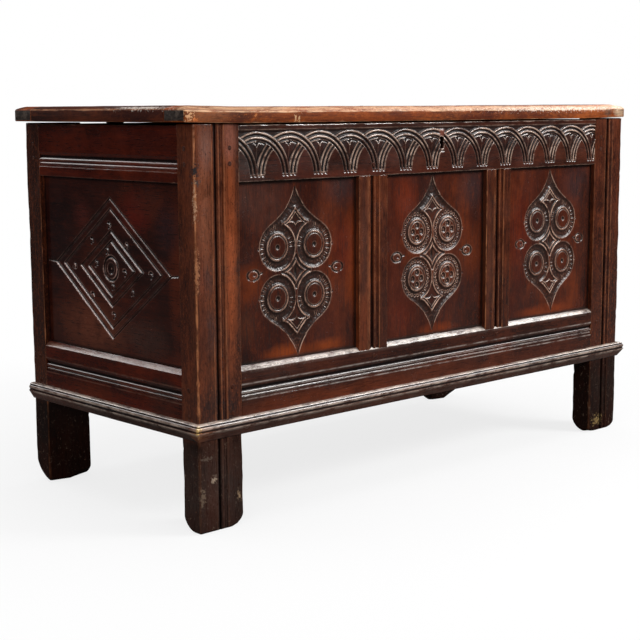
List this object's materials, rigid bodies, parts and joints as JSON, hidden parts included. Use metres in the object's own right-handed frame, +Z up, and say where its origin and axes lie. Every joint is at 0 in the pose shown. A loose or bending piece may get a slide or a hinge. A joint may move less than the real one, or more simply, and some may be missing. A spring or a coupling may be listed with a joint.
{
  "type": "coffer chest",
  "caption": "Joined oak coffer with carved front panels and top rail, a base moulding, a hinged panelled lid and a lock behind its keyhole.",
  "frame": {"origin": "on the floor under the centre of the carcass, which is the bottom centre of the whole within the lid's uneven overhang", "axes": "+X to the right of someone who faces the front, +Y to the back, +Z up"},
  "size_m": [1.234, 0.544, 0.7279],
  "materials": {
    "frame_oak": "waxed dark oak",
    "panel_oak": "waxed dark oak",
    "moulding_oak": "waxed dark oak, worn lighter on its edges",
    "lid_oak": "waxed oak, worn lighter",
    "plain_oak": "plain dry oak",
    "oak_pegs": "waxed dark oak, end grain",
    "iron": "forged, dark, lightly rusted"
  },
  "bodies": {
    "carcass": {"back_bottom_rail": "plain_oak", "back_frame_pegs": "oak_pegs", "back_left_muntin": "plain_oak", "back_left_panel": "plain_oak", "back_left_stile": "plain_oak", "back_middle_panel": "plain_oak", "back_right_muntin": "plain_oak", "back_right_panel": "plain_oak", "back_right_stile": "plain_oak", "back_top_rail": "plain_oak", "base_moulding_front": "moulding_oak", "base_moulding_left": "moulding_oak", "base_moulding_nails": "iron", "base_moulding_right": "moulding_oak", "carcass_iron_nails": "iron", "end_frame_pegs": "oak_pegs", "floor_board_1": "plain_oak", "floor_board_2": "plain_oak", "floor_board_3": "plain_oak", "floor_board_4": "plain_oak", "front_bottom_rail": "frame_oak", "front_frame_pegs": "oak_pegs", "front_left_muntin": "frame_oak", "front_left_panel": "panel_oak", "front_left_stile": "frame_oak", "front_middle_panel": "panel_oak", "front_right_muntin": "frame_oak", "front_right_panel": "panel_oak", "front_right_stile": "frame_oak", "front_top_rail": "frame_oak", "left_end_bottom_rail": "frame_oak", "left_end_panel": "panel_oak", "left_end_top_rail": "frame_oak", "left_hinge_carcass_leaf": "iron", "left_hinge_pin": "iron", "lock_case": "iron", "lock_key_pin": "iron", "lock_plate": "iron", "lock_spring": "iron", "right_end_bottom_rail": "frame_oak", "right_end_panel": "panel_oak", "right_end_top_rail": "frame_oak", "right_hinge_carcass_leaf": "iron", "right_hinge_pin": "iron"},
    "lid": {"left_hinge_lid_leaf": "iron", "lid_back_rail": "lid_oak", "lid_front_rail": "lid_oak", "lid_iron_nails": "iron", "lid_left_muntin": "lid_oak", "lid_left_panel": "lid_oak", "lid_left_rail": "lid_oak", "lid_middle_panel": "lid_oak", "lid_pegs": "oak_pegs", "lid_right_muntin": "lid_oak", "lid_right_panel": "lid_oak", "lid_right_rail": "lid_oak", "lock_staple": "iron", "right_hinge_lid_leaf": "iron"},
    "lock_bolt": {"lock_bolt": "iron"}
  },
  "joints": [
    {"name": "lid_hinge", "type": "hinge", "parent": "carcass", "child": "lid", "pos_m": [0, 0.266, 0.70065], "axis": [-1, 0, 0], "range_deg": [0, 105]},
    {"name": "lock_bolt_slide", "type": "slide", "parent": "carcass", "child": "lock_bolt", "axis": [1, 0, 0], "range_m": [0, 0.012]}
  ]
}
